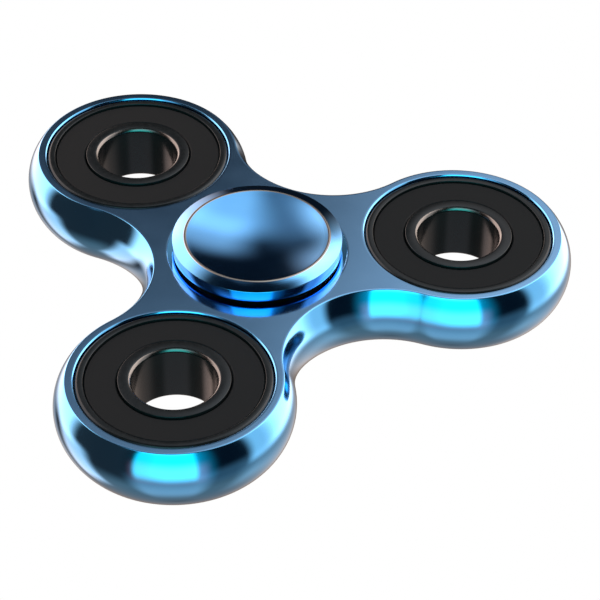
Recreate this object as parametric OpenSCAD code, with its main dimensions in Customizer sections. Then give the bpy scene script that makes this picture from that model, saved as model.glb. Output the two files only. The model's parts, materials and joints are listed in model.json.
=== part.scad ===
// Three-lobed fidget spinner: an anodised aluminium frame with a sealed ball
// bearing in the middle and one in each lobe, and a finger cap on either side.
// Origin: on the spin axis, half way through the frame. +Z: towards the top cap.

/* [Frame] */
// Number of lobes around the spin axis
lobe_count = 3; // [3:1:5]
// Wall left between the middle bearing and a lobe bearing
web_w = 1.7; // [1.2:0.1:8]
// Width of the flat rim around a lobe bearing
lobe_rim_w = 1.0; // [0.6:0.1:4]
// How far the rounded side swells past the edge of the flat faces
side_swell = 1.4; // [0.4:0.1:2.4]
// Wall left between the middle bearing and a waist, at the flat faces
waist_wall = 1.06; // [0.8:0.02:6]
// Thickness of the lip that holds each bearing in its pocket
lip_t = 0.4; // [0.35:0.05:1.2]
// How far the lip reaches in over the face of a bearing
lip_w = 1.5; // [0.5:0.02:1.6]
// Depth of a bearing's face below the open end of its pocket
seat_depth = 0.1; // [0:0.05:0.6]
// Bevel round the open end of each pocket
pocket_bevel = 0.22; // [0.1:0.02:0.4]
// Bevel round the lip of each pocket
lip_bevel = 0.3; // [0.1:0.02:0.3]

/* [Bearings] */
// Outside diameter of a bearing
bearing_od = 22.225; // [20:0.1:30]
// Bore of a bearing
bearing_bore = 9.525; // [7:0.1:11.5]
// Width of a bearing
bearing_w = 7.142; // [5.9:0.1:10]
// Diameter of one ball
ball_d = 3.969; // [3:0.05:4.8]
// Number of balls in a bearing
ball_count = 7; // [5:1:7]
// Radial play between a ball and its raceways
race_play = 0.05; // [0.02:0.01:0.1]
// Height of the shoulders beside a raceway
shoulder_h = 0.85; // [0.5:0.05:1]
// Width of the ledge in an outer ring that a seal sits on
seal_ledge_w = 0.97; // [0.6:0.01:1.1]
// Width of the step in an inner ring that a seal's lip runs beside
seal_step_w = 0.47; // [0.2:0.01:0.6]
// Bevel on the corners of both rings
ring_bevel = 0.3; // [0.1:0.05:0.4]
// Depth of a seal below the ends of the rings
seal_depth = 0.17; // [0.05:0.01:0.3]
// Bevel on the edges of a seal
seal_bevel = 0.22; // [0.05:0.01:0.22]
// Running gap between a seal's lip and the inner ring
seal_gap = 0.08; // [0.04:0.01:0.15]
// Radial thickness of the ball cage
cage_w = 1.2; // [0.8:0.1:1.4]
// Thickness of the cage under a ball
cage_floor_t = 0.3; // [0.2:0.05:0.4]
// How far the cage's horns reach past the middle of a ball
horn_reach = 0.9; // [0.5:0.1:1.2]
// Gap between a ball and its pocket in the cage
pocket_gap = 0.1; // [0.05:0.01:0.15]
// Gap between the cage and a seal
cage_clear = 0.15; // [0.1:0.05:0.25]

/* [Caps] */
// Outside diameter of a finger cap
cap_d = 19.8; // [16:0.1:22]
// Width of the slope between the wall and the dished face
cap_slope_w = 1.4; // [0.6:0.1:3]
// Depth of the dish
dish_depth = 1.0; // [0.2:0.1:1.4]
// Width of the flat line round the dish
dish_land_w = 0.18; // [0.1:0.02:0.4]
// Height of the straight wall of a cap
cap_wall_h = 1.43; // [0.8:0.01:3]
// Height of the slope between the wall and the dished face
cap_slope_h = 0.47; // [0.3:0.01:1.2]
// Gap between a cap and the face of the frame
cap_lift = 0.4; // [0.2:0.05:1]
// Distance from the edge of the hub under a cap to the edge of the inner ring
hub_inset = 0.15; // [0.1:0.05:0.5]
// Gap between the ends of the two posts, half way through the bearing
post_gap = 0.7; // [0.2:0.1:2]

/* [Fits] */
// Radial gap that stands for a press fit
press_gap = 0.02; // [0.01:0.01:0.04]

/* [Hidden] */
LOBES = [for (i = [1:lobe_count]) str("lobe", i)];
BEARING_PIECES = ["outer_ring", "inner_ring", "balls", "cage", "top_seal", "bottom_seal"];

$fn = 120;
// More sides for the shallow arc of the dish
dish_fn = 720;
// Overlap that lets a cut run clean through a face
cut = 1;

// Frame
pocket_r = bearing_od / 2 + press_gap;
pocket_depth = bearing_w + seat_depth;
frame_t = pocket_depth + lip_t;
flat_z = frame_t / 2;
lip_hole_r = pocket_r - lip_w;
arm_length = bearing_od + 2 * press_gap + web_w;
lobe_r = pocket_r + lobe_rim_w;
// The side is one arc that passes through both flat edges
side_r = (flat_z * flat_z + side_swell * side_swell) / (2 * side_swell);
lobe_step = 360 / lobe_count;
// A waist stands this much proud of a lobe where it runs into it
seam_step = 0.01;
half_step = lobe_step / 2;
// A waist is the arc that leaves its wall beside the middle bearing and runs into both lobes
waist_near = pocket_r + waist_wall;
waist_end_r = lobe_r + seam_step;
arm_part = arm_length * cos(half_step);
waist_r = (pow(waist_near, 2) + pow(arm_length, 2) - 2 * waist_near * arm_part - pow(waist_end_r, 2))
    / (2 * (waist_end_r + arm_part - waist_near));
waist_dist = waist_near + waist_r;

// Bearing
bore_r = bearing_bore / 2;
pitch_r = (bearing_od + bearing_bore) / 4;
race_r = ball_d / 2 + race_play;
ring_end_z = bearing_w / 2;
outer_shoulder_r = pitch_r + race_r - shoulder_h;
outer_face_r = outer_shoulder_r + seal_ledge_w;
inner_shoulder_r = pitch_r - race_r + shoulder_h;
inner_face_r = inner_shoulder_r - seal_step_w;
ball_pocket_r = ball_d / 2 + pocket_gap;
cage_low_z = -ball_pocket_r - cage_floor_t;
// A seal fills the height that the cage leaves
seal_seat_z = cage_clear - cage_low_z;
seal_top_z = ring_end_z - seal_depth;
seal_inner_r = inner_face_r + seal_gap;
// The inner ring steps down to its end face here, under the seal's lip
lip_step_z = seal_seat_z - seal_gap;

// Middle bearing: its pocket opens at the bottom face of the frame
center_bearing_z = -flat_z + seat_depth + bearing_w / 2;
// Lobe bearings: their pockets open at the top face
lobe_bearing_z = flat_z - seat_depth - bearing_w / 2;

// Caps
cap_r = cap_d / 2;
cap_top_r = cap_r - cap_slope_w;
dish_r = cap_top_r - dish_land_w;
dish_sphere_r = (dish_r * dish_r + dish_depth * dish_depth) / (2 * dish_depth);
post_r = bore_r - press_gap;
post_len = (bearing_w - post_gap) / 2;
// Lead-in bevel at the end of a post
post_bevel = 0.3;
hub_r = inner_face_r - hub_inset;
// Height of a cap's underside above the end of the middle bearing
hub_h = lip_t + cap_lift;
// Bevel under the wall of a cap
cap_under_bevel = 0.3;
cap_slope_z = hub_h + cap_wall_h;
cap_top_z = cap_slope_z + cap_slope_h;

// Places its children on the axis of one lobe
module at_lobe(i) {
    angle = (i - 1) * lobe_step;
    translate([arm_length * cos(angle), arm_length * sin(angle), lobe_bearing_z])
        rotate([0, 0, angle])
            children();
}

// Outline of a lobe from its axis to its rounded side
module lobe_profile() {
    arc_x = lobe_r + side_swell - side_r;
    translate([0, -flat_z]) square([max(arc_x, lobe_r / 2), frame_t]);
    intersection() {
        translate([arc_x, 0]) circle(side_r);
        translate([0, -flat_z]) square([lobe_r + 2 * side_swell, frame_t]);
    }
}

// Outline of the space beside a waist, whose side is the same arc turned round
module waist_profile() {
    arc_x = waist_r - side_swell + side_r;
    difference() {
        translate([0, -flat_z - cut]) square([arc_x, frame_t + 2 * cut]);
        translate([arc_x, 0]) circle(side_r);
    }
}

// One lobe: a disc with a rounded side
module lobe(i) {
    angle = (i - 1) * lobe_step;
    translate([arm_length * cos(angle), arm_length * sin(angle), 0])
        rotate_extrude() lobe_profile();
}

// The middle of the frame, with the three waists cut out of it
module frame_middle() {
    difference() {
        translate([0, 0, -flat_z])
            linear_extrude(frame_t)
                polygon([for (i = [0:2 * lobe_count - 1])
                    let (reach = i % 2 == 0 ? arm_length : waist_dist)
                    [reach * cos(i * half_step), reach * sin(i * half_step)]]);
        for (i = [1:lobe_count])
            rotate([0, 0, (i - 0.5) * lobe_step])
                translate([waist_dist, 0, 0])
                    rotate_extrude() waist_profile();
    }
}

// A bearing's pocket, open upwards, with its lip at the bottom face
module pocket() {
    rotate_extrude()
        polygon([
            [0, -flat_z - cut],
            [lip_hole_r + lip_bevel + cut, -flat_z - cut],
            [lip_hole_r, -flat_z + lip_bevel],
            [lip_hole_r, -flat_z + lip_t],
            [pocket_r, -flat_z + lip_t],
            [pocket_r, flat_z - pocket_bevel],
            [pocket_r + pocket_bevel + cut, flat_z + cut],
            [0, flat_z + cut]
        ]);
}

module frame() {
    color([0.17, 0.32, 0.46])
        difference() {
            union() {
                frame_middle();
                for (i = [1:lobe_count]) lobe(i);
            }
            mirror([0, 0, 1]) pocket();
            for (i = [1:lobe_count])
                rotate([0, 0, (i - 1) * lobe_step])
                    translate([arm_length, 0, 0])
                        pocket();
        }
}

// Outer ring: corner bevels, a seat for each seal, two shoulders and the raceway
module outer_ring() {
    r = bearing_od / 2;
    color([0.13, 0.13, 0.14])
        difference() {
            rotate_extrude()
                polygon([
                    [outer_shoulder_r, -seal_seat_z],
                    [outer_face_r, -seal_seat_z],
                    [outer_face_r, -ring_end_z],
                    [r - ring_bevel, -ring_end_z],
                    [r, -ring_end_z + ring_bevel],
                    [r, ring_end_z - ring_bevel],
                    [r - ring_bevel, ring_end_z],
                    [outer_face_r, ring_end_z],
                    [outer_face_r, seal_seat_z],
                    [outer_shoulder_r, seal_seat_z]
                ]);
            raceway();
        }
}

// Inner ring: bevelled bore, a land for each seal's lip, two shoulders and the raceway
module inner_ring() {
    color([0.13, 0.13, 0.14])
        difference() {
            rotate_extrude()
                polygon([
                    [bore_r, -ring_end_z + ring_bevel],
                    [bore_r + ring_bevel, -ring_end_z],
                    [inner_face_r, -ring_end_z],
                    [inner_face_r, -lip_step_z],
                    [inner_shoulder_r, -lip_step_z],
                    [inner_shoulder_r, lip_step_z],
                    [inner_face_r, lip_step_z],
                    [inner_face_r, ring_end_z],
                    [bore_r + ring_bevel, ring_end_z],
                    [bore_r, ring_end_z - ring_bevel]
                ]);
            raceway();
        }
}

// The ring-shaped groove that both rings share
module raceway() {
    rotate_extrude() translate([pitch_r, 0]) circle(race_r);
}

// Places its children at each ball
module at_balls() {
    for (k = [0:ball_count - 1])
        rotate([0, 0, k * 360 / ball_count])
            translate([pitch_r, 0, 0])
                children();
}

module balls() {
    color([0.8, 0.8, 0.82]) at_balls() sphere(d = ball_d);
}

// Snap-in crown cage: a ring below the balls whose pockets close over their middles
module cage() {
    color([0.82, 0.8, 0.72])
        difference() {
            rotate_extrude()
                translate([pitch_r - cage_w / 2, cage_low_z])
                    square([cage_w, horn_reach - cage_low_z]);
            at_balls() sphere(ball_pocket_r);
        }
}

// Seal: its bevelled rim sits in the outer ring, its lip runs on the inner ring
module seal() {
    rim_r = outer_face_r - press_gap;
    color([0.1, 0.1, 0.11])
        rotate_extrude()
            polygon([
                [seal_inner_r, seal_seat_z],
                [rim_r, seal_seat_z],
                [rim_r, seal_top_z - seal_bevel],
                [rim_r - seal_bevel, seal_top_z],
                [seal_inner_r + seal_bevel, seal_top_z],
                [seal_inner_r, seal_top_z - seal_bevel]
            ]);
}

module top_seal() seal();

module bottom_seal() mirror([0, 0, 1]) seal();

// Outline of a cap above the end of the middle bearing, and of its post below it
module cap_profile() {
    difference() {
        polygon([
            [0, -post_len],
            [post_r - post_bevel, -post_len],
            [post_r, -post_len + post_bevel],
            [post_r, 0],
            [hub_r, 0],
            [hub_r, hub_h],
            [cap_r - cap_under_bevel, hub_h],
            [cap_r, hub_h + cap_under_bevel],
            [cap_r, cap_slope_z],
            [cap_top_r, cap_top_z],
            [0, cap_top_z]
        ]);
        translate([0, cap_top_z - dish_depth + dish_sphere_r]) circle(dish_sphere_r, $fn = dish_fn);
    }
}

module cap() {
    color([0.1, 0.33, 0.55])
        translate([0, 0, bearing_w / 2])
            rotate_extrude() cap_profile();
}

module top_cap() {
    translate([0, 0, center_bearing_z]) cap();
}

module bottom_cap() {
    translate([0, 0, center_bearing_z]) mirror([0, 0, 1]) cap();
}

// Draws one piece of a bearing, chosen by its name
module bearing_piece(piece) {
    if (piece == "outer_ring") outer_ring();
    if (piece == "inner_ring") inner_ring();
    if (piece == "balls") balls();
    if (piece == "cage") cage();
    if (piece == "top_seal") top_seal();
    if (piece == "bottom_seal") bottom_seal();
}

frame();
top_cap();
bottom_cap();
for (piece = BEARING_PIECES) {
    translate([0, 0, center_bearing_z]) bearing_piece(piece);
    for (i = [1:lobe_count])
        at_lobe(i) bearing_piece(piece);
}
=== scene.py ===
# %% [markdown]
# # A fidget spinner, finished for a close look
#
# The spinner is a flat aluminium body with three lobes. A sealed ball bearing sits in each lobe and one in
# the middle, and two dished finger buttons are pressed into the middle bearing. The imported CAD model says
# where everything is and how it moves. Here each visible part is modelled again with the small rounds and
# smooth curves that catch the light, and then it gets its metal, anodising or rubber.

# %% Load the frame
import json
import math

import bmesh
import bpy
from mathutils import Matrix, Vector


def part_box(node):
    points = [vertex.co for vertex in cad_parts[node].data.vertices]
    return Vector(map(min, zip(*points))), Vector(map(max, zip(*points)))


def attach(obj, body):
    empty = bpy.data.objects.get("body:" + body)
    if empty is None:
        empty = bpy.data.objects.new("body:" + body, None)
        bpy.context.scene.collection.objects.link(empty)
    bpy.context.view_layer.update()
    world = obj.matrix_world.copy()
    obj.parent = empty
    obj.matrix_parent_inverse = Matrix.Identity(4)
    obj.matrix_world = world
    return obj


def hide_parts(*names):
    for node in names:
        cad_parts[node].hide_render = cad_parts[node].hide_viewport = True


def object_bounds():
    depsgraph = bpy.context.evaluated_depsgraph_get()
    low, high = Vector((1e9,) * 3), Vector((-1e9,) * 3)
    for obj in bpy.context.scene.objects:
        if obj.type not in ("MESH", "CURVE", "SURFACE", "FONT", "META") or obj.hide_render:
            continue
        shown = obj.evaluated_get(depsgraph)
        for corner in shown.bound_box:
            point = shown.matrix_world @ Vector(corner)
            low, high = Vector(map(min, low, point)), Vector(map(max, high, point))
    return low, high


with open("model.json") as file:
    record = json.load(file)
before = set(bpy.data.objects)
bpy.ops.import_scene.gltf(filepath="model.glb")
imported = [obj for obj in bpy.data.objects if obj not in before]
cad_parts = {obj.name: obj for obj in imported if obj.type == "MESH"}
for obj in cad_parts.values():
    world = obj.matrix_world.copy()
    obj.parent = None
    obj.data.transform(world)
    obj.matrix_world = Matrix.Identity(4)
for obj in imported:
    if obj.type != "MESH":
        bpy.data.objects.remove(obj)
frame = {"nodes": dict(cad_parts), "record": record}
cad_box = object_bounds()
MM = 0.001
print("CAD box, mm:", [[round(x / MM, 2) for x in corner] for corner in cad_box])

# %% [markdown]
# ## Camera
#
# The view is a product shot: a long lens some way off, looking down at the top faces from a little to the
# left of straight ahead. A long lens keeps the three lobes nearly the same size. The camera is placed by an
# angle round the object, a height angle and a distance, so each can be changed without the others.

# %% Camera
CAMERA_TARGET = Vector((3.64, -9.60, 3.82)) * MM
CAMERA_AROUND = math.radians(-8.92)
CAMERA_ABOVE = math.radians(40.44)
CAMERA_ROLL = math.radians(0.77)
CAMERA_DISTANCE = 282.4 * MM
SENSOR_WIDTH = 36.0
LENS_LENGTH = 148.5


def direction(around, above):
    """The direction from the object to a place at these two angles."""
    return Vector((
        math.sin(around) * math.cos(above),
        -math.cos(around) * math.cos(above),
        math.sin(above),
    ))


def add_camera():
    """A camera on a sphere round its target, turned a little about its own axis."""
    data = bpy.data.cameras.new("camera")
    data.sensor_width = SENSOR_WIDTH
    data.lens = LENS_LENGTH
    camera = bpy.data.objects.new("camera", data)
    bpy.context.scene.collection.objects.link(camera)
    back = direction(CAMERA_AROUND, CAMERA_ABOVE)
    place = Matrix.Translation(CAMERA_TARGET + back * CAMERA_DISTANCE)
    aim = back.to_track_quat("Z", "Y").to_matrix().to_4x4()
    camera.matrix_world = place @ aim @ Matrix.Rotation(CAMERA_ROLL, 4, "Z")
    return camera


bpy.context.scene.camera = add_camera()
print("camera is", round(CAMERA_DISTANCE / MM), "mm from its target")

# %% [markdown]
# ## Sizes
#
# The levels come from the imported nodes. The box of the body gives its flat faces, the box of a button gives
# its top, and the box of a ring gives the middle and the ends of its bearing.

# %% Sizes read from the frame
PLACES = ("center", "lobe1", "lobe2", "lobe3")
LOBES = PLACES[1:]


def middle(node):
    """The middle of a node's box."""
    low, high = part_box(node)
    return (low + high) / 2


FLAT_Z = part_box("frame")[1].z
RING_END = (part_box("lobe1_outer_ring")[1].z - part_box("lobe1_outer_ring")[0].z) / 2
CAP_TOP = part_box("top_cap")[1].z
CENTER_Z = middle("center_outer_ring").z
LOBE_Z = middle("lobe1_outer_ring").z
print("flat", FLAT_Z / MM, "ring end", RING_END / MM, "cap top", CAP_TOP / MM, CENTER_Z / MM, LOBE_Z / MM)

# %% [markdown]
# ## Sizes the frame can't give
#
# Some sizes can't be read from a box: the width of a bevel, the swell of a side, the wall left at a waist.
# The body's are set here, once, in millimetres, and those of the bearings and the buttons come where they are
# first needed. The curves of the outline follow from them. A lobe is an arc round its bearing, and a waist is
# an arc the other way round. The two have to meet without a corner, which gives the radius of the waist.

# %% Sizes of the body
BEARING_R = 11.1125 * MM  # half of 22.225 mm, a stock inch bearing
PRESS_GAP = 0.02 * MM
POCKET_R = BEARING_R + PRESS_GAP
WEB_W = 1.70 * MM  # metal left between two pockets
LOBE_RIM_W = 1.00 * MM  # from a pocket out to the edge of the flat, at a lobe
SIDE_SWELL = 1.40 * MM  # how far the rounded side stands out past the flat faces
WAIST_WALL = 1.06 * MM  # and at a waist, from the middle pocket
POCKET_BEVEL = 0.12 * MM
LIP_T = 0.40 * MM
LIP_W = 1.50 * MM  # how far the lip reaches in over the bearing
LIP_BEVEL = 0.12 * MM
SPOT_R = 10.55 * MM  # a shallow bright facing round the lip
SPOT_DEPTH = 0.05 * MM
FLAT_STRIP = 0.25 * MM  # a narrow ring of flat that each loop brings along, to be filled between

AXIS = Vector((0, 0, 0))
THIRD_TURN = math.radians(120)
ARM = 2 * POCKET_R + WEB_W
LOBE_R = POCKET_R + LOBE_RIM_W
LOBE_AXIS = Vector((ARM, 0, 0))
SIDE_R = (FLAT_Z**2 + SIDE_SWELL**2) / (2 * SIDE_SWELL)
WAIST_NEAR = POCKET_R + WAIST_WALL
WAIST_SPREAD = 2 * LOBE_R + ARM - 2 * WAIST_NEAR
WAIST_R = (WAIST_NEAR**2 + ARM**2 - WAIST_NEAR * ARM - LOBE_R**2) / WAIST_SPREAD
WAIST_AXIS = Matrix.Rotation(THIRD_TURN / 2, 3, "Z") @ Vector((WAIST_NEAR + WAIST_R, 0, 0))
lobe_gap = middle("lobe1_outer_ring") - LOBE_AXIS - Vector((0, 0, LOBE_Z))
print("arm", ARM / MM, "off the frame by", lobe_gap.length / MM, "waist radius", WAIST_R / MM)

# %% [markdown]
# ## Rounded outlines
#
# A machined edge is never dead sharp. Each corner of an outline is swapped for a short arc that touches both
# sides, and that thin round is what draws a bright line along an edge. An outline is a list of corners, each
# with its distance from the axis, its height and the size of its round.

# %% Outlines
EDGE_ROUND = 0.06 * MM
ROUND_STEPS = 4


def turned_by(vector, angle):
    """A flat vector turned by an angle."""
    c, s = math.cos(angle), math.sin(angle)
    return Vector((vector.x * c - vector.y * s, vector.x * s + vector.y * c))


def rounded(corners, closed=False):
    """Corners (distance, height, round) as points, with an arc at each corner that has a round."""
    points = []
    last = len(corners) - 1
    for i, (r, z, size) in enumerate(corners):
        here = Vector((r, z))
        if size == 0 or (not closed and i in (0, last)):
            points.append(here)
            continue
        back = (Vector(corners[i - 1][:2]) - here).normalized()
        ahead = (Vector(corners[(i + 1) % len(corners)][:2]) - here).normalized()
        half = back.angle(ahead) / 2
        centre = here + (back + ahead).normalized() * size / math.sin(half)
        start = here + back * size / math.tan(half) - centre
        end = here + ahead * size / math.tan(half) - centre
        sweep = start.angle_signed(end)
        for step in range(ROUND_STEPS + 1):
            points.append(centre + turned_by(start, -sweep * step / ROUND_STEPS))
    return points


def arc(centre, radius, first, last, steps):
    """Corners without rounds along an arc, from one angle to another."""
    corners = []
    for step in range(steps + 1):
        angle = first + (last - first) * step / steps
        corners.append((centre[0] + radius * math.cos(angle), centre[1] + radius * math.sin(angle), 0))
    return corners


def flipped(points, height=0.0):
    """An outline upside down about a height."""
    return [(r, 2 * height - z, *rest) for r, z, *rest in points]


# %% [markdown]
# ## A lathe made of operators
#
# Rings, seals, pockets and buttons are all turned, so one way of modelling serves them. A circle is added at
# the first point of the outline. It is extruded from point to point and scaled to each new radius, as a lathe
# tool moves. A closed outline is bridged back to its first ring, and an outline that begins and ends on the
# axis has its first and last rings merged to points.

# %% Turning
TURN_STEPS = 192
LARGER_FACES_ONLY = 100  # the highest weight, so that a small round bends and the flat beside it stays flat


def select_where(piece, test):
    """In edit mode, selects the vertices that pass a test, and what lies between them."""
    bpy.ops.mesh.select_mode(type="VERT")
    bpy.ops.mesh.select_all(action="DESELECT")
    mesh = bmesh.from_edit_mesh(piece.data)
    for vertex in mesh.verts:
        vertex.select = test(vertex)
    mesh.select_flush(True)
    bmesh.update_edit_mesh(piece.data)


def begin(name):
    """Names the new primitive, puts its place in its mesh and opens it in edit mode."""
    piece = bpy.context.object
    piece.name = name
    piece.data.name = name
    bpy.ops.object.transform_apply(location=True)
    bpy.ops.object.mode_set(mode="EDIT")
    bpy.ops.mesh.select_all(action="SELECT")
    return piece


def finish_mesh(piece):
    """Faces out, smooth, and with each normal taken from the larger faces round it."""
    bpy.ops.mesh.select_all(action="SELECT")
    bpy.ops.mesh.normals_make_consistent(inside=False)
    bpy.ops.object.mode_set(mode="OBJECT")
    bpy.ops.object.shade_smooth()
    weighted = piece.modifiers.new("weighted normals", "WEIGHTED_NORMAL")
    weighted.weight = LARGER_FACES_ONLY
    bpy.ops.object.modifier_apply(modifier=weighted.name)
    print(piece.name, len(piece.data.polygons), "faces", [round(x / MM, 2) for x in piece.dimensions])


def turn(name, points, axis, ends):
    """Turns an outline about a vertical axis. Its ends are "open", "bridged" or "on axis"."""
    first = Vector(points[0][:2])
    bpy.ops.object.select_all(action="DESELECT")
    place = axis + Vector((0, 0, first.y))
    bpy.ops.mesh.primitive_circle_add(vertices=TURN_STEPS, radius=first.x, location=place)
    piece = begin(name)
    for here, there in zip(points, points[1:]):
        grow = there[0] / here[0]
        bpy.ops.mesh.extrude_region_move(TRANSFORM_OT_translate={"value": (0, 0, there[1] - here[1])})
        bpy.ops.transform.resize(value=(grow, grow, 1), center_override=axis)
    last_ring = TURN_STEPS * (len(points) - 1)
    if ends == "bridged":
        select_where(piece, lambda v: v.index < TURN_STEPS or v.index >= last_ring)
        bpy.ops.mesh.bridge_edge_loops()
    if ends == "on axis":
        bpy.ops.mesh.merge(type="CENTER")
        select_where(piece, lambda v: v.index < TURN_STEPS)
        bpy.ops.mesh.merge(type="CENTER")
    finish_mesh(piece)
    return piece


def copy_to(piece, name, move):
    """A copy with its own mesh, moved inside its mesh."""
    twin = piece.copy()
    twin.data = piece.data.copy()
    twin.name = name
    twin.data.name = name
    twin.data.transform(Matrix.Translation(move))
    bpy.context.scene.collection.objects.link(twin)
    return twin


# %% [markdown]
# ## The body
#
# The real body is a plate of aluminium whose outline was milled with a cutter that leaves one full curve from
# the top face to the bottom one. The model is made in the same way. The curve is drawn once, as a chain of
# edges where a lobe meets a waist. Then it is spun round the axis of the lobe, on round the axis of the next
# waist the other way, and so on until it comes home.

# %% Sweep the side
SIDE_ROUND = 0.12 * MM
SIDE_STEPS = 24
LOBE_STEPS = 96
WAIST_STEPS = 48
SPIN_SIGN = -1  # mesh.spin turns clockwise for a positive angle
WELD = 0.01 * MM
LOBE_HALF_SWEEP = math.atan2(WAIST_AXIS.y, WAIST_AXIS.x - ARM)
WAIST_HALF_SWEEP = LOBE_HALF_SWEEP - THIRD_TURN / 2
LOBE_TURN = SPIN_SIGN * 2 * LOBE_HALF_SWEEP
WAIST_TURN = -SPIN_SIGN * 2 * WAIST_HALF_SWEEP


def side_outline():
    """The curved side with a strip of each flat, as distance out from the flat's edge and height."""
    tip = math.asin(FLAT_Z / SIDE_R)
    curve = arc((SIDE_SWELL - SIDE_R, 0), SIDE_R, tip, -tip, SIDE_STEPS)[1:-1]
    top = [(-FLAT_STRIP, FLAT_Z, 0), (0, FLAT_Z, SIDE_ROUND)]
    return rounded(top + curve + flipped(reversed(top)))


def sweep_side():
    """Draws the side's curve at the end of lobe 1 and sweeps it round the whole body."""
    outline = side_outline()
    out = Vector((math.cos(-LOBE_HALF_SWEEP), math.sin(-LOBE_HALF_SWEEP), 0))
    start = LOBE_AXIS + out * (LOBE_R + outline[0].x) + Vector((0, 0, outline[0].y))
    bpy.ops.object.select_all(action="DESELECT")
    bpy.ops.mesh.primitive_plane_add(size=MM, location=start)
    piece = begin("spinner_body")
    bpy.ops.mesh.merge(type="CENTER")
    for here, there in zip(outline, outline[1:]):
        step = out * (there.x - here.x) + Vector((0, 0, there.y - here.y))
        bpy.ops.mesh.extrude_region_move(TRANSFORM_OT_translate={"value": step})
    bpy.ops.mesh.select_all(action="SELECT")
    for third in range(3):
        about = Matrix.Rotation(THIRD_TURN * third, 3, "Z")
        for steps, angle, centre in (
            (LOBE_STEPS, LOBE_TURN, about @ LOBE_AXIS),
            (WAIST_STEPS, WAIST_TURN, about @ WAIST_AXIS),
        ):
            bpy.ops.mesh.spin(steps=steps, angle=angle, center=centre, axis=(0, 0, 1))
    bpy.ops.mesh.select_all(action="SELECT")
    bpy.ops.mesh.remove_doubles(threshold=WELD)
    bpy.ops.object.mode_set(mode="OBJECT")
    return piece


spinner_body = sweep_side()
print(len(spinner_body.data.vertices), "vertices", [round(x / MM, 2) for x in spinner_body.dimensions])

# %% [markdown]
# ## The pockets
#
# A bearing is pressed into its pocket against a thin lip. The three outer pockets open at the top and the
# middle one opens at the bottom, so the middle one is the same outline upside down.

# %% Pockets
def pocket_outline():
    """A pocket that opens at the top: bevel, wall, floor, and the lip with a shallow bright spot face."""
    lip_hole_r = POCKET_R - LIP_W
    top = POCKET_R + POCKET_BEVEL
    spot_z = SPOT_DEPTH - FLAT_Z
    return rounded([
        (top + FLAT_STRIP, FLAT_Z, 0),
        (top, FLAT_Z, EDGE_ROUND),
        (POCKET_R, FLAT_Z - POCKET_BEVEL, EDGE_ROUND),
        (POCKET_R, LIP_T - FLAT_Z, EDGE_ROUND),
        (lip_hole_r, LIP_T - FLAT_Z, EDGE_ROUND / 2),
        (lip_hole_r, spot_z + LIP_BEVEL, EDGE_ROUND / 2),
        (lip_hole_r + LIP_BEVEL, spot_z, EDGE_ROUND),
        (SPOT_R - SPOT_DEPTH, spot_z, SPOT_DEPTH / 2),
        (SPOT_R, -FLAT_Z, SPOT_DEPTH / 2),
        (SPOT_R + FLAT_STRIP, -FLAT_Z, 0),
    ])


def third_of(vector, third):
    """A vector turned to lobe 1, 2 or 3."""
    return Matrix.Rotation(THIRD_TURN * third, 3, "Z") @ vector


lobe_pocket = turn("lobe_pocket", pocket_outline(), AXIS, "open")
center_pocket = turn("center_pocket", flipped(pocket_outline()), AXIS, "open")
pockets = [center_pocket]
for third in range(3):
    pockets.append(copy_to(lobe_pocket, f"pocket_{third}", third_of(LOBE_AXIS, third)))
bpy.data.objects.remove(lobe_pocket)

# %% [markdown]
# ## Two flat faces
#
# The side and the pockets are joined to one mesh that is still open at the top and at the bottom. At each
# level the loops are filled between, and the plate is closed.

# %% Join the pockets and fill the flats
bpy.ops.object.select_all(action="DESELECT")
for piece in [*pockets, spinner_body]:
    piece.select_set(True)
bpy.context.view_layer.objects.active = spinner_body
bpy.ops.object.join()
bpy.ops.object.mode_set(mode="EDIT")
for height in (FLAT_Z, -FLAT_Z):
    bpy.ops.mesh.select_mode(type="EDGE")
    bpy.ops.mesh.select_all(action="DESELECT")
    mesh = bmesh.from_edit_mesh(spinner_body.data)
    for edge in mesh.edges:
        if edge.is_boundary and all(abs(v.co.z - height) < PRESS_GAP for v in edge.verts):
            edge.select = True
    bmesh.update_edit_mesh(spinner_body.data)
    bpy.ops.mesh.fill(use_beauty=True)
finish_mesh(spinner_body)
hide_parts("frame")
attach(spinner_body, "rotor")

# %% [markdown]
# ## The bearings
#
# Each bearing is a stock part: a hardened outer and inner ring, seven balls in a snap-in cage, and a moulded
# seal on each side. The balls and the cage sit behind the seals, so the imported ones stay. Rings and seals are
# seen close up, so they are turned again with soft corners.

# %% Sizes of a bearing
BORE_R = 4.7625 * MM
RING_BEVEL = 0.30 * MM
CORNER_ROUND = 0.40 * MM
PITCH_R = (BEARING_R + BORE_R) / 2  # where the middles of the balls run
RACE_R = 2.0345 * MM  # the groove is a little wider than the balls, which are 1.9845 mm
RACE_STEPS = 12
SHOULDER_H = 0.85 * MM
SEAL_LEDGE_W = 0.97 * MM
SEAL_STEP_W = 0.47 * MM
SEAL_BEVEL = 0.22 * MM
SEAL_GAP = 0.08 * MM
OUTER_SHOULDER_R = PITCH_R + RACE_R - SHOULDER_H
OUTER_FACE_R = OUTER_SHOULDER_R + SEAL_LEDGE_W
INNER_SHOULDER_R = PITCH_R - RACE_R + SHOULDER_H
INNER_FACE_R = INNER_SHOULDER_R - SEAL_STEP_W
SEAL_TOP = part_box("lobe1_top_seal")[1].z - LOBE_Z
SEAL_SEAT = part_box("lobe1_top_seal")[0].z - LOBE_Z
print("seal", SEAL_SEAT / MM, SEAL_TOP / MM, "shoulders", OUTER_SHOULDER_R / MM, INNER_SHOULDER_R / MM)

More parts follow.
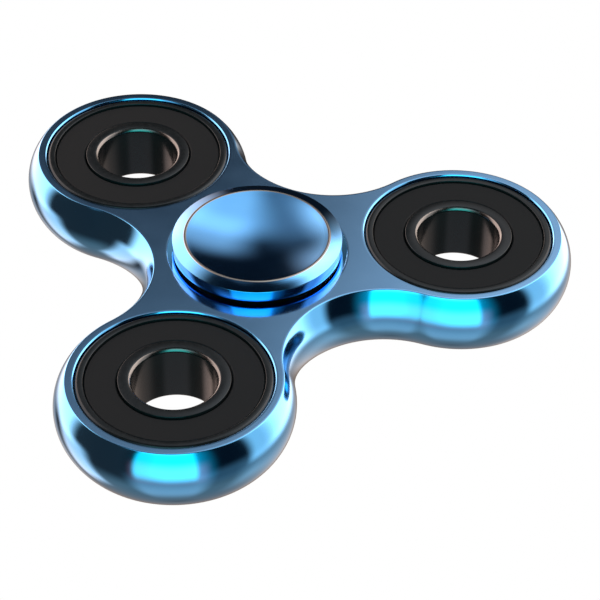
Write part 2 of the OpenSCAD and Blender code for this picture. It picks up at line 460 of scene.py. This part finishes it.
# %% Ring and seal outlines
def ring_outline(corner_r, face_r, shoulder_r, seat):
    """The closed outline of either ring: its raceway, then up and round one side, and the same below."""
    side = 1 if corner_r > shoulder_r else -1
    race_z = math.sqrt(RACE_R**2 - (shoulder_r - PITCH_R) ** 2)
    upper = [
        (shoulder_r, seat, EDGE_ROUND),
        (face_r, seat, EDGE_ROUND),
        (face_r, RING_END, EDGE_ROUND),
        (corner_r - side * RING_BEVEL, RING_END, CORNER_ROUND),
        (corner_r, RING_END - RING_BEVEL, CORNER_ROUND),
    ]
    tip = math.atan2(race_z, (shoulder_r - PITCH_R) * side)
    race = arc((0, 0), RACE_R, -tip, tip, RACE_STEPS)
    race = [(PITCH_R + side * x, z, 0) for x, z, _ in race]
    return rounded(race + upper + flipped(reversed(upper)), closed=True)


def seal_outline():
    """A seal's moulded section: flat, with softly bevelled edges at the rim and at the lip."""
    rim_r = OUTER_FACE_R - PRESS_GAP
    lip_r = INNER_FACE_R + SEAL_GAP
    return rounded([
        (lip_r, SEAL_SEAT, EDGE_ROUND),
        (rim_r, SEAL_SEAT, EDGE_ROUND),
        (rim_r, SEAL_TOP - SEAL_BEVEL, EDGE_ROUND * 2),
        (rim_r - SEAL_BEVEL, SEAL_TOP, EDGE_ROUND * 2),
        (lip_r + SEAL_BEVEL, SEAL_TOP, EDGE_ROUND * 2),
        (lip_r, SEAL_TOP - SEAL_BEVEL, EDGE_ROUND * 2),
    ], closed=True)


# %% [markdown]
# ## One of each, copied to four places
#
# All four bearings are the same stock part, so each ring and seal is turned once at the origin and copied.
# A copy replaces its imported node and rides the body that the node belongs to, so it spins as the node does.

# %% Turn one of each and copy them
OUTLINES = {
    "outer_ring": ring_outline(BEARING_R, OUTER_FACE_R, OUTER_SHOULDER_R, SEAL_SEAT),
    "inner_ring": ring_outline(BORE_R, INNER_FACE_R, INNER_SHOULDER_R, SEAL_SEAT - SEAL_GAP),
    "top_seal": seal_outline(),
    "bottom_seal": flipped(seal_outline()),
}
patterns = {part: turn(part, outline, AXIS, "bridged") for part, outline in OUTLINES.items()}
BODY_OF = {node: name for name, nodes in frame["record"]["behaviour"]["bodies"].items() for node in nodes}
bearing_pieces = {}
for place in PLACES:
    home = AXIS.copy() if place == "center" else third_of(LOBE_AXIS, LOBES.index(place))
    home.z = middle(f"{place}_outer_ring").z
    for part, pattern in patterns.items():
        node = f"{place}_{part}"
        piece = copy_to(pattern, f"{place}_{part}_turned", home)
        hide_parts(node)
        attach(piece, BODY_OF[node])
        bearing_pieces[node] = piece
for pattern in patterns.values():
    bpy.data.objects.remove(pattern)
print(len(bearing_pieces), "bearing pieces")

# %% [markdown]
# ## The finger buttons
#
# A button is one turned piece: a dished face for the finger, a bright slope round it, a straight wall, a hub
# that rests on the middle inner ring, and a post pressed into its bore. The dish is an arc of a large circle.

# %% Sizes of a button
CAP_R = 9.90 * MM
CAP_SLOPE_W = 1.40 * MM
CAP_SLOPE_H = 0.47 * MM
CAP_WALL_H = 1.43 * MM
CAP_UNDER_BEVEL = 0.12 * MM
CAP_LIFT = 0.40 * MM  # the gap under a button, so that it clears the body as it spins
DISH_LAND_W = 0.18 * MM
DISH_DEPTH = 1.00 * MM
DISH_STEPS = 16
RIM_ROUND = 0.60 * MM
HUB_INSET = 0.15 * MM
POST_GAP = 0.70 * MM  # left between the ends of the two posts
POST_BEVEL = 0.30 * MM
print("button", 2 * CAP_R / MM, "mm across, dish", 2 * (CAP_R - CAP_SLOPE_W - DISH_LAND_W) / MM)

# %% Buttons
def button_outline():
    """The button above the end of the middle bearing, from the middle of the dish to the end of the post."""
    top_r = CAP_R - CAP_SLOPE_W
    dish_r = top_r - DISH_LAND_W
    hub_h = LIP_T + CAP_LIFT
    slope_z = hub_h + CAP_WALL_H
    top_z = slope_z + CAP_SLOPE_H
    post_len = RING_END - POST_GAP / 2
    post_r = BORE_R - PRESS_GAP
    hub_r = INNER_FACE_R - HUB_INSET
    sphere_r = (dish_r**2 + DISH_DEPTH**2) / (2 * DISH_DEPTH)
    rim = math.asin(dish_r / sphere_r)
    dish = arc((0, top_z - DISH_DEPTH + sphere_r), sphere_r, -math.pi / 2, rim - math.pi / 2, DISH_STEPS)
    dish[0] = (MM, dish[0][1], 0)
    dish[-1] = (dish_r, top_z, RIM_ROUND)
    return rounded(dish + [
        (top_r, top_z, RIM_ROUND),
        (CAP_R, slope_z, EDGE_ROUND),
        (CAP_R, hub_h + CAP_UNDER_BEVEL, EDGE_ROUND * 2),
        (CAP_R - CAP_UNDER_BEVEL, hub_h, EDGE_ROUND * 2),
        (hub_r, hub_h, EDGE_ROUND),
        (hub_r, 0, EDGE_ROUND),
        (post_r, 0, EDGE_ROUND),
        (post_r, POST_BEVEL - post_len, EDGE_ROUND),
        (post_r - POST_BEVEL, -post_len, EDGE_ROUND),
        (MM, -post_len, 0),
    ])


upright = [Vector((r, z + CENTER_Z + RING_END)) for r, z in button_outline()]
top_button = turn("top_button", upright, AXIS, "on axis")
bottom_button = turn("bottom_button", flipped(upright, CENTER_Z), AXIS, "on axis")
for piece, node in ((top_button, "top_cap"), (bottom_button, "bottom_cap")):
    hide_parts(node)
    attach(piece, "hub")

# %% [markdown]
# ## Colours and nodes
#
# Colours are written as the hex values a designer would pick, and one function turns them to the linear
# values that a shader wants. One more function adds a node with its settings and links. Patterns are placed
# in object coordinates and their sizes are given in metres, so a grain of 0.15 mm stays 0.15 mm.

# %% Material helpers
NOISE_DETAIL = 3.0
NOISE_SPAN = (0.3, 0.7)  # nearly all of a noise's values lie between these
MIX_A, MIX_B, MIX_RESULT = 6, 7, 2  # the colour sockets of a Mix node share their names, so they go by place


def linear(hex_colour):
    """An sRGB hex colour as linear red, green, blue and alpha."""
    values = [int(hex_colour[i:i + 2], 16) / 255 for i in (1, 3, 5)]
    return (*(v / 12.92 if v <= 0.04045 else ((v + 0.055) / 1.055) ** 2.4 for v in values), 1.0)


def set_sockets(owner, node, values=None, links=None):
    """Sets constants on a node's own sockets and links other nodes into it."""
    for key, value in (values or {}).items():
        node.inputs[key].default_value = value
    for key, (source, output) in (links or {}).items():
        owner.node_tree.links.new(source.outputs[output], node.inputs[key])


def add_node(owner, kind, settings=None, values=None, links=None):
    """Adds one node to a material or world, with its settings, socket values and what is linked into it."""
    node = owner.node_tree.nodes.new(kind)
    for key, value in (settings or {}).items():
        setattr(node, key, value)
    set_sockets(owner, node, values, links)
    return node


def new_material(name, values):
    """A material with its Principled shader, the shader's constants and its output."""
    material = bpy.data.materials.new(name)
    material.use_nodes = True
    material.node_tree.nodes.clear()
    shader = add_node(material, "ShaderNodeBsdfPrincipled", values=values)
    add_node(material, "ShaderNodeOutputMaterial", links={"Surface": (shader, "BSDF")})
    print("material", name)
    return material, shader


def weathered(material, shader, size, stretch=(1, 1, 1), colours=None, roughness=None, depth=None):
    """Noise of one grain size that can tint a finish, vary its roughness and raise small hills on it."""
    place = add_node(material, "ShaderNodeTexCoord")
    scale = {"Scale": Vector(stretch) / size}
    scaled = add_node(material, "ShaderNodeMapping", values=scale, links={"Vector": (place, "Object")})
    clouds = {"Scale": 1.0, "Detail": NOISE_DETAIL}
    noise = add_node(material, "ShaderNodeTexNoise", values=clouds, links={"Vector": (scaled, "Vector")})
    if colours:
        dark, light = (linear(colour) for colour in colours)
        blend = {"data_type": "RGBA"}
        mixed = add_node(material, "ShaderNodeMix", blend, {MIX_A: dark, MIX_B: light}, {0: (noise, "Fac")})
        set_sockets(material, shader, links={"Base Color": (mixed, MIX_RESULT)})
    if roughness:
        low, high = NOISE_SPAN
        span = {"From Min": low, "From Max": high, "To Min": roughness[0], "To Max": roughness[1]}
        spread = add_node(material, "ShaderNodeMapRange", values=span, links={"Value": (noise, "Fac")})
        set_sockets(material, shader, links={"Roughness": (spread, "Result")})
    if depth:
        height = {"Height": (noise, "Fac")}
        hills = add_node(material, "ShaderNodeBump", values={"Distance": depth}, links=height)
        set_sockets(material, shader, links={"Normal": (hills, "Normal")})


# %% [markdown]
# ## Blue anodised aluminium
#
# The flat faces were rubbed flat and lightly etched before they were dyed, so they have an even satin glow.
# The side and the pockets were polished, so the same dye looks deeper there and mirrors the lamps. The
# buttons came off a lathe, and the marks of its tool run in rings round the dish. All three are metal under
# a thin clear oxide. A finish that is the same everywhere looks false, so each one changes slowly too.

# %% Anodised aluminium
PATCH = 4.0 * MM
ETCH_GRAIN = 0.15 * MM
ETCH_DEPTH = 0.0006 * MM
WHEEL_LINE = 1.2 * MM
WHEEL_DEPTH = 0.0004 * MM
WHEEL_STRETCH = (0.25, 0.25, 4.0)
LATHE_PITCH = 0.25 * MM
LATHE_DEPTH = 0.0003 * MM
WAVE_PERIOD = math.pi / 10  # the distance between two rings of a Wave texture whose scale is one


def satin_anodised():
    """An even glow broken by a fine etched grain, drawn coarser than the real 0.05 mm so that it shows."""
    material, shader = new_material("anodised_satin_blue", {"Metallic": 1.0})
    # The dye takes a touch unevenly and handling rubs some patches smoother, so the glow isn't dead even.
    weathered(material, shader, PATCH, colours=("#74AAE2", "#7EB4EA"), roughness=(0.10, 0.13))
    weathered(material, shader, ETCH_GRAIN, depth=ETCH_DEPTH)
    return material


def polished_anodised():
    """A deep blue mirror. Long faint lines run round the side, where the polishing wheel went."""
    clear = {"Metallic": 1.0, "Coat Weight": 1.0, "Coat Roughness": 0.10}
    material, shader = new_material("anodised_polished_blue", clear)
    # Finger marks make a reflection sharper in one place than in another.
    weathered(material, shader, PATCH, colours=("#54B4FC", "#5CBCFF"), roughness=(0.08, 0.12))
    weathered(material, shader, WHEEL_LINE, stretch=WHEEL_STRETCH, depth=WHEEL_DEPTH)
    return material


def turned_anodised():
    """The same blue off a lathe. Its tool left rings 0.1 mm apart, drawn coarser so that they show."""
    clear = {"Metallic": 1.0, "Coat Weight": 1.0, "Coat Roughness": 0.10}
    material, shader = new_material("anodised_turned_blue", clear)
    weathered(material, shader, PATCH, colours=("#54ACFC", "#5CB4FF"), roughness=(0.085, 0.115))
    place = add_node(material, "ShaderNodeTexCoord")
    rings = add_node(
        material, "ShaderNodeTexWave", {"wave_type": "RINGS", "rings_direction": "Z"},
        {"Scale": WAVE_PERIOD / LATHE_PITCH, "Distortion": 0.6, "Detail": 1.0},
        {"Vector": (place, "Object")},
    )
    # The rings draw each reflection out towards the centre and away from it, as on any turned face.
    height = {"Height": (rings, "Fac")}
    hills = add_node(material, "ShaderNodeBump", values={"Distance": LATHE_DEPTH}, links=height)
    set_sockets(material, shader, links={"Normal": (hills, "Normal")})
    return material


# %% [markdown]
# ## Black steel, rubber, bright steel and nylon
#
# The rings are hardened steel with a black oxide skin, smooth enough to carry a dim highlight on every
# corner. The seals are moulded rubber and stay dull. The balls and the cage sit behind the seals, and they
# get their own finishes all the same, because any part can be taken out and shown by itself.

# %% Steel, rubber and nylon
OXIDE_GRAIN = 0.5 * MM
OXIDE_DEPTH = 0.0006 * MM
RUBBER_GRAIN = 0.2 * MM
RUBBER_DEPTH = 0.004 * MM
BALL_HAZE = 0.3 * MM
NYLON_GRAIN = 0.4 * MM
NYLON_DEPTH = 0.003 * MM
COLD_TINT = linear("#C8E3FF")


def black_oxide_steel():
    """Near black with a cold, dim shine. The skin is a little cloudy, so highlights aren't cut out clean."""
    dim = {"Metallic": 0.0, "Specular IOR Level": 0.40, "Specular Tint": COLD_TINT}
    material, shader = new_material("steel_black_oxide", dim)
    blacks = ("#131519", "#1A1C1F")
    weathered(material, shader, OXIDE_GRAIN, colours=blacks, roughness=(0.15, 0.22), depth=OXIDE_DEPTH)
    return material


def moulded_rubber():
    """Dull black with the fine pebbling of its mould, so it looks softer than the rings beside it."""
    dull = {"Metallic": 0.0, "Specular IOR Level": 0.16, "Specular Tint": COLD_TINT}
    material, shader = new_material("rubber_moulded_black", dull)
    blacks = ("#101216", "#16181C")
    weathered(material, shader, RUBBER_GRAIN, colours=blacks, roughness=(0.45, 0.56), depth=RUBBER_DEPTH)
    return material


def polished_steel():
    """A lapped ball: a clean mirror with the faintest haze where it has rolled."""
    material, shader = new_material("steel_chrome_polished", {"Metallic": 1.0})
    weathered(material, shader, BALL_HAZE, colours=("#D4D6D8", "#DCDEE0"), roughness=(0.04, 0.09))
    return material


def moulded_nylon():
    """Creamy and half dull, with the light mottling that moulded nylon has."""
    material, shader = new_material("nylon_moulded_natural", {"Metallic": 0.0})
    creams = ("#DDD6BE", "#EBE6D2")
    weathered(material, shader, NYLON_GRAIN, colours=creams, roughness=(0.38, 0.50), depth=NYLON_DEPTH)
    return material


# %% [markdown]
# ## Edges with painted highlights
#
# Two edges get a lighter material on their own faces, as painted highlights. The rim between a button's dish
# and its slope is grey metal instead of blue, so it reads as a whitish line. The bevel at each end of a
# bearing's bore is grey steel instead of black, for the soft bright arcs at the mouth of a bore. Both are
# faces of their own in the mesh, so a second material slot is enough.

# %% Bare rim and worn bevel
def painted_rim_highlight():
    """Grey metal with fine marks, a painted highlight: the whitish line that outlines a button's dish."""
    material, shader = new_material("aluminium_painted_rim_highlight", {"Metallic": 1.0})
    weathered(material, shader, PATCH, colours=("#9CA0A6", "#A8ACB2"), roughness=(0.14, 0.20))
    weathered(material, shader, ETCH_GRAIN, depth=ETCH_DEPTH)
    return material


def painted_bore_highlight():
    """Dark grey metal, lighter than the black oxide: a painted highlight, the soft bright arc at the mouth of a
    bore.
    """
    material, shader = new_material("steel_painted_bore_highlight", {"Metallic": 1.0})
    weathered(material, shader, OXIDE_GRAIN, colours=("#66686C", "#76787C"), roughness=(0.18, 0.28))
    return material


RIM_R = CAP_R - CAP_SLOPE_W - DISH_LAND_W / 2
LEAST_TILT, MOST_TILT = 0.3, 0.95  # how far up a normal points: less on the bore's wall, more on a flat end


def is_rim(face):
    """True for the narrow ring of faces between a button's dish and its slope."""
    near = abs(face.center.xy.length - RIM_R) < DISH_LAND_W
    return near and abs(face.center.z) > CAP_TOP - DISH_LAND_W


def is_bore_bevel(face, ring_middle):
    """True for the faces of the bevel at either end of a bore."""
    out = (face.center - ring_middle).xy.length
    return out < BORE_R + RING_BEVEL and LEAST_TILT < abs(face.normal.z) < MOST_TILT


# %% [markdown]
# ## Dress the pieces
#
# The body has two finishes in one mesh: the faces that lie in the two flat levels are satin, and everything
# else is polished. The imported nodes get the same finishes, so any of them can be shown instead of its piece.

# %% Give every piece and node its finish
LEVEL = 0.999  # a normal that points this nearly straight up or down belongs to a flat face


def give(piece, *materials):
    """Swaps a piece's materials for these."""
    piece.data.materials.clear()
    for material in materials:
        piece.data.materials.append(material)


def is_flat(face):
    """True for a face that lies in the body's top or bottom level."""
    return abs(face.normal.z) > LEVEL and abs(abs(face.center.z) - FLAT_Z) < PRESS_GAP


def pick(piece, test):
    """Gives the faces that pass a test the second material, and counts them."""
    for face in piece.data.polygons:
        face.material_index = int(test(face))
    return sum(face.material_index for face in piece.data.polygons)


satin_blue = satin_anodised()
polished_blue = polished_anodised()
turned_blue = turned_anodised()
steel = black_oxide_steel()
rubber = moulded_rubber()
chrome = polished_steel()
nylon = moulded_nylon()
rim_highlight_metal = painted_rim_highlight()
bore_highlight_steel = painted_bore_highlight()

give(spinner_body, polished_blue, satin_blue)
print(pick(spinner_body, is_flat), "satin faces")
# Each button's rim gets grey metal in place of the blue, a painted highlight.
for button in (top_button, bottom_button):
    give(button, turned_blue, rim_highlight_metal)
    print(pick(button, is_rim), "faces on the rim with a painted highlight")
for node, piece in bearing_pieces.items():
    give(piece, rubber if "seal" in node else steel)
    give(frame["nodes"][node], rubber if "seal" in node else steel)
for place in PLACES:
    piece = bearing_pieces[f"{place}_inner_ring"]
    ring_middle = middle(f"{place}_inner_ring")
    # The bore bevels get grey steel in place of the black, a painted highlight.
    give(piece, steel, bore_highlight_steel)
    print(pick(piece, lambda face: is_bore_bevel(face, ring_middle)), "faces on a bore bevel with a painted highlight")
    give(frame["nodes"][f"{place}_balls"], chrome)
    give(frame["nodes"][f"{place}_cage"], nylon)
for node, finish in (("frame", satin_blue), ("top_cap", turned_blue), ("bottom_cap", turned_blue)):
    give(frame["nodes"][node], finish)

# %% [markdown]
# ## The white sweep
#
# A product shot on white stands on a sweep, a sheet that curves up behind the object without a line. This one
# is turned like the rings: a floor with a wall and a roof all round. Only the camera sees it, so it never
# lights the metal from below. Its outside is clear, so the spinner can be seen from underneath too.

# %% Sweep
FLOOR_Z = cad_box[0][2] - PRESS_GAP
SWEEP_R = 2.0
SWEEP_ROUND = SWEEP_R / 2
WHITE = (1, 1, 1, 1)
WHITE_GLOW = 1.0
sweep_outline = [
    (MM, FLOOR_Z, 0),
    (SWEEP_R, FLOOR_Z, SWEEP_ROUND),
    (SWEEP_R, SWEEP_R, SWEEP_ROUND),
    (MM, SWEEP_R, 0),
]
sweep = turn("sweep", rounded(sweep_outline), AXIS, "on axis")
paper = bpy.data.materials.new("paper_white_sweep")
paper.use_nodes = True
paper.node_tree.nodes.clear()
glow = add_node(paper, "ShaderNodeEmission", values={"Color": WHITE, "Strength": WHITE_GLOW})
clear = add_node(paper, "ShaderNodeBsdfTransparent")
facing = add_node(paper, "ShaderNodeNewGeometry")
sides = {0: (facing, "Backfacing"), 1: (clear, "BSDF"), 2: (glow, "Emission")}
mixed = add_node(paper, "ShaderNodeMixShader", links=sides)
add_node(paper, "ShaderNodeOutputMaterial", links={"Surface": (mixed, "Shader")})
give(sweep, paper)
for ray in ("diffuse", "glossy", "transmission", "shadow", "volume_scatter"):
    setattr(sweep, f"visible_{ray}", False)

# %% [markdown]
# ## Light
#
# Polished metal has no look of its own: it shows the lamps. A studio lights it with a few large soft boxes
# and leaves dark gaps between them, so that each curve carries a bright shape with a soft edge. The boxes are
# patches on the sky sphere, each at an angle round the object and a height, with a half width and height.
# They are tinted: cyan in front, and warm at the sides and the back. Real dyed oxide mirrors a lamp nearly
# white in some places and cyan in others, and a metal shader has one blue for all of them, so the tint of the
# lamp makes up the difference. The room itself is nearly black.

# %% Angles on the sky
DARK_ROOM = {"X": 0.006, "Y": 0.009, "Z": 0.012}
world = bpy.data.worlds.new("studio")
bpy.context.scene.world = world
world.use_nodes = True
world.node_tree.nodes.clear()
MATH = "ShaderNodeMath"
look = add_node(world, "ShaderNodeTexCoord")
parts = add_node(world, "ShaderNodeSeparateXYZ", links={"Vector": (look, "Generated")})
forward = add_node(world, MATH, {"operation": "MULTIPLY"}, {1: -1.0}, {0: (parts, "Y")})
around = add_node(world, MATH, {"operation": "ARCTAN2"}, links={0: (parts, "X"), 1: (forward, 0)})
above = add_node(world, MATH, {"operation": "ARCSINE"}, links={0: (parts, "Z")})


def band(angle, centre, half, soft):
    """One inside half the width of a band about a centre, fading to zero over a soft edge, in degrees."""
    offset = add_node(world, MATH, {"operation": "SUBTRACT"}, {1: math.radians(centre)}, {0: (angle, 0)})
    wrapped = add_node(world, MATH, {"operation": "WRAP"}, {1: math.pi, 2: -math.pi}, {0: (offset, 0)})
    away = add_node(world, MATH, {"operation": "ABSOLUTE"}, links={0: (wrapped, 0)})
    inner, outer = math.radians(half - soft), math.radians(half + soft)
    fade = {"From Min": inner, "From Max": outer, "To Min": 1.0, "To Max": 0.0}
    smooth = {"interpolation_type": "SMOOTHSTEP"}
    return add_node(world, "ShaderNodeMapRange", smooth, fade, {"Value": (away, 0)})


def soft_box(light, centre, half, soft, colour):
    """Adds a patch of light to the sky: centre, half size and soft edge are each (around, above)."""
    across = band(around, centre[0], half[0], soft[0])
    upward = band(above, centre[1], half[1], soft[1])
    shape = add_node(world, MATH, {"operation": "MULTIPLY"}, links={0: (across, 0), 1: (upward, 0)})
    scale = {"operation": "SCALE"}
    lit = add_node(world, "ShaderNodeVectorMath", scale, {0: colour}, {"Scale": (shape, 0)})
    total = {0: (light, 0), 1: (lit, 0)}
    return add_node(world, "ShaderNodeVectorMath", {"operation": "ADD"}, links=total)


# %% Soft boxes
sky = add_node(world, "ShaderNodeCombineXYZ", values=DARK_ROOM)
BOXES = (
    # what it is, then centre, half size and soft edge in degrees, then its light in red, green and blue
    ("front key", (-15, 16), (27, 38), (3, 12), (0.06, 1.7, 1.4)),
    ("front key, right fade", (-2, 10), (23, 36), (12, 10), (0.0, 0.5, 0.5)),
    ("front key, top", (-26, 54), (36, 14), (10, 8), (0.7, 0.95, 0.95)),
    ("front key, lower", (-12, -10), (32, 18), (6, 12), (0.8, 0.1, 0.1)),
    ("right box", (101, 20), (40, 46), (6, 8), (1.1, 1.0, 0.9)),
    ("right box, bright end", (115, 20), (27, 42), (14, 8), (2.4, 1.8, 1.4)),
    ("left box", (-137, 16), (30, 38), (9, 10), (3.0, 2.2, 1.8)),
    ("left box, low end", (-164, 10), (14, 18), (5, 8), (1.5, 1.08, 0.9)),
    ("left gap", (-75, 5), (27, 40), (8, 12), (0.05, 0.03, 0.022)),
    ("left card", (-109, -38), (18, 20), (9, 6), (1.7, 1.2, 1.0)),
    ("back roof", (153, 56), (22, 13), (9, 7), (1.2, 1.1, 1.0)),
    ("back roof, low", (150, 40), (18.5, 8.5), (6, 6), (0.9, 0.78, 0.70)),
    ("back left fill", (-170, 54), (12, 16), (8, 10), (0.36, 0.32, 0.30)),
    ("front floor", (-12, -46), (34, 22), (10, 12), (0.5, 0.40, 0.36)),
    ("side floor", (105, -40), (45, 20), (15, 15), (0.5, 0.40, 0.34)),
    ("left floor", (-158, -38), (14, 16), (8, 8), (0.3, 0.3, 0.3)),
    ("floor gap", (38, -26), (22, 14), (12, 10), (0.14, 0.135, 0.125)),
    ("floor all round", (0, -66), (180, 26), (0.1, 14), (0.32, 0.24, 0.19)),
)
for name, *box in BOXES:
    sky = soft_box(sky, *box)
    sky.label = name
background = add_node(world, "ShaderNodeBackground", links={"Color": (sky, 0)})
add_node(world, "ShaderNodeOutputWorld", links={"Surface": (background, "Background")})
bpy.context.scene.view_settings.view_transform = "Standard"
print(len(BOXES), "soft boxes")
